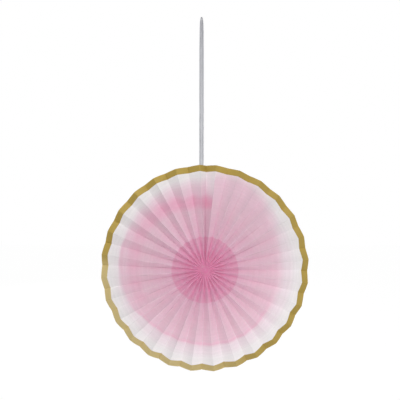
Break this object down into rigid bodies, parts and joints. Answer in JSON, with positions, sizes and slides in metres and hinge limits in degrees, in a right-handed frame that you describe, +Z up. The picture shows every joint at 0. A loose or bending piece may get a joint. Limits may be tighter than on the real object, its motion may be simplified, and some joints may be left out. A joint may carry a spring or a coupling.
{
  "type": "paper fan rosette",
  "caption": "Round hanging party fan of pleated printed paper with a foil-coloured rim, lapped at one seam, tied at its centre and hung by a flat ribbon loop.",
  "frame": {"origin": "in the top of the ribbon loop, where the hook bears", "axes": "+Z up along the ribbon, the printed side of the fan faces -Y, +X to the right as seen from the printed side"},
  "size_m": [0.4062, 0.0169, 0.6778],
  "materials": {
    "printed_paper": "matte",
    "tape": "clear double-sided tape",
    "thread": "twisted cotton",
    "ribbon": "satin curling ribbon",
    "glue": "hot-melt glue"
  },
  "bodies": {
    "root": {"pleated_paper": "printed_paper", "seam_tape": "tape", "centre_thread": "thread", "hanging_ribbon": "ribbon", "ribbon_glue": "glue"}
  },
  "joints": []
}
